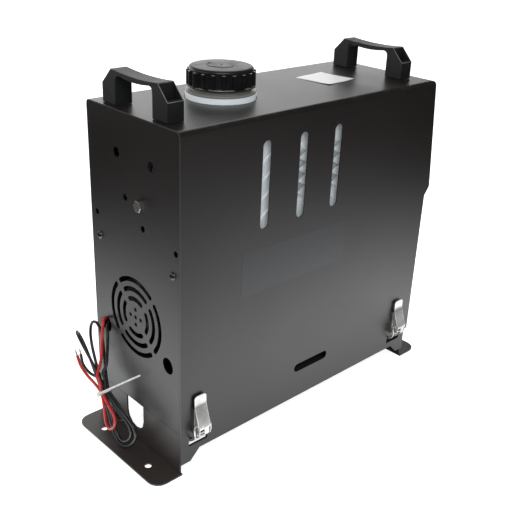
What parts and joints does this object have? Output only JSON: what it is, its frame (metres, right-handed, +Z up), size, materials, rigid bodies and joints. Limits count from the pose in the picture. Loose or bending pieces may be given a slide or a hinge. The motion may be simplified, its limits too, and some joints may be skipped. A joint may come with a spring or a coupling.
{
  "type": "diesel air heater",
  "caption": "Portable diesel air heater: black folded-steel case with carrying handles, draw latches, round grille, sight slots, filler cap and bolt-down feet.",
  "frame": {"origin": "on the ground under the middle of the case", "axes": "+Z up, +X towards the hot-air outlet end, -Y towards the face with the sight slots"},
  "size_m": [0.452, 0.1794, 0.416],
  "materials": {
    "coat": "semi-gloss black powder coat on folded sheet steel",
    "coat_foot": "satin black powder coat on folded sheet steel",
    "zinc": "bright zinc plate",
    "steel": "plain machined steel",
    "cast_aluminium": "raw die-cast aluminium",
    "black_plastic": "fine-grained black moulding",
    "grey_plastic": "dark grey moulding",
    "tank_plastic": "milky blow-moulded polyethylene",
    "screen_glass": "dark clear screen cover",
    "rubber": "black rubber",
    "clear_plastic": "clear filter bowl",
    "gasket": "grey fibre sealing sheet",
    "brass": "turned brass",
    "red_wire": "glossy red wire insulation",
    "black_wire": "black wire insulation",
    "white_plastic": "white nylon"
  },
  "bodies": {
    "case": {"base_tray": "coat_foot", "foot_bracket_left": "coat_foot", "foot_bracket_right": "coat_foot", "hood": "coat", "end_panel_left": "coat", "end_panel_right": "coat", "fuel_tank": "tank_plastic", "tank_outlet": "brass", "tank_shelf": "coat_foot", "casing_lower": "black_plastic", "casing_upper": "black_plastic", "inlet_shroud": "black_plastic", "outlet_duct": "black_plastic", "outlet_guard": "black_plastic", "blower_motor": "steel", "blower_housing": "cast_aluminium", "heat_exchanger": "cast_aluminium", "burner_insert": "steel", "glow_plug": "steel", "base_gasket": "gasket", "heater_cradle": "coat_foot", "control_unit": "grey_plastic", "fuel_pump": "steel", "pump_mount": "rubber", "fuel_filter": "clear_plastic", "tank_hose": "rubber", "filter_hose": "rubber", "burner_hose": "rubber", "wiring_loom": "black_plastic", "control_bezel": "black_plastic", "control_board": "grey_plastic", "control_screen": "screen_glass", "handle_left": "black_plastic", "handle_right": "black_plastic", "latch_plate_front_left": "zinc", "latch_plate_front_right": "zinc", "latch_plate_back_left": "zinc", "latch_plate_back_right": "zinc", "red_lead": "red_wire", "red_hank": "red_wire", "black_lead": "black_wire", "black_hank": "black_wire", "cable_tie": "white_plastic"},
    "fan_rotor": {"air_fan": "black_plastic", "motor_shaft": "steel", "combustion_wheel": "black_plastic"},
    "cap_seal_disc": {"cap_seal": "rubber"},
    "cap": {"filler_cap": "black_plastic"},
    "button_power_key": {"button_power": "grey_plastic"},
    "button_set_key": {"button_set": "grey_plastic"},
    "button_down_key": {"button_down": "grey_plastic"},
    "button_up_key": {"button_up": "grey_plastic"},
    "lever_front_left": {"latch_lever_front_left": "zinc"},
    "bail_front_left": {"latch_bail_front_left": "zinc"},
    "lever_front_right": {"latch_lever_front_right": "zinc"},
    "bail_front_right": {"latch_bail_front_right": "zinc"},
    "lever_back_left": {"latch_lever_back_left": "zinc"},
    "bail_back_left": {"latch_bail_back_left": "zinc"},
    "lever_back_right": {"latch_lever_back_right": "zinc"},
    "bail_back_right": {"latch_bail_back_right": "zinc"}
  },
  "joints": [
    {"name": "fan_spin", "type": "hinge", "parent": "case", "child": "fan_rotor", "pos_m": [-0.176, 0, 0.162], "axis": [1, 0, 0], "continuous": true},
    {"name": "cap_lift", "type": "slide", "parent": "case", "child": "cap_seal_disc", "axis": [0, 0, 1], "range_m": [0, 0.008]},
    {"name": "cap_turn", "type": "hinge", "parent": "cap_seal_disc", "child": "cap", "pos_m": [-0.0735, 0.0067, 0.4], "axis": [0, 0, 1], "range_deg": [0, 720]},
    {"name": "press_power", "type": "slide", "parent": "case", "child": "button_power_key", "axis": [-0.9945, 0, -0.1043], "range_m": [0, 0.0012], "stiffness_N_per_m": 900},
    {"name": "press_set", "type": "slide", "parent": "case", "child": "button_set_key", "axis": [-0.9945, 0, -0.1043], "range_m": [0, 0.0012], "stiffness_N_per_m": 900},
    {"name": "press_down", "type": "slide", "parent": "case", "child": "button_down_key", "axis": [-0.9945, 0, -0.1043], "range_m": [0, 0.0012], "stiffness_N_per_m": 900},
    {"name": "press_up", "type": "slide", "parent": "case", "child": "button_up_key", "axis": [-0.9945, 0, -0.1043], "range_m": [0, 0.0012], "stiffness_N_per_m": 900},
    {"name": "latch_front_left", "type": "hinge", "parent": "case", "child": "lever_front_left", "pos_m": [-0.1681, -0.0845, 0.051], "axis": [1, 0, 0], "range_deg": [0, 125]},
    {"name": "hook_front_left", "type": "hinge", "parent": "lever_front_left", "child": "bail_front_left", "pos_m": [-0.1681, -0.083, 0.06], "axis": [1, 0, 0], "range_deg": [-125, 0]},
    {"name": "latch_front_right", "type": "hinge", "parent": "case", "child": "lever_front_right", "pos_m": [0.1681, -0.0845, 0.051], "axis": [1, 0, 0], "range_deg": [0, 125]},
    {"name": "hook_front_right", "type": "hinge", "parent": "lever_front_right", "child": "bail_front_right", "pos_m": [0.1681, -0.083, 0.06], "axis": [1, 0, 0], "range_deg": [-125, 0]},
    {"name": "latch_back_left", "type": "hinge", "parent": "case", "child": "lever_back_left", "pos_m": [-0.1681, 0.0845, 0.051], "axis": [-1, 0, 0], "range_deg": [0, 125]},
    {"name": "hook_back_left", "type": "hinge", "parent": "lever_back_left", "child": "bail_back_left", "pos_m": [-0.1681, 0.083, 0.06], "axis": [-1, 0, 0], "range_deg": [-125, 0]},
    {"name": "latch_back_right", "type": "hinge", "parent": "case", "child": "lever_back_right", "pos_m": [0.1681, 0.0845, 0.051], "axis": [-1, 0, 0], "range_deg": [0, 125]},
    {"name": "hook_back_right", "type": "hinge", "parent": "lever_back_right", "child": "bail_back_right", "pos_m": [0.1681, 0.083, 0.06], "axis": [-1, 0, 0], "range_deg": [-125, 0]}
  ],
  "couplings": [
    {"joint": "cap_lift", "follows": "cap_turn", "m_per_rad": 0.00063662},
    {"joint": "hook_front_left", "follows": "latch_front_left", "ratio": -1},
    {"joint": "hook_front_right", "follows": "latch_front_right", "ratio": -1},
    {"joint": "hook_back_left", "follows": "latch_back_left", "ratio": -1},
    {"joint": "hook_back_right", "follows": "latch_back_right", "ratio": -1}
  ]
}
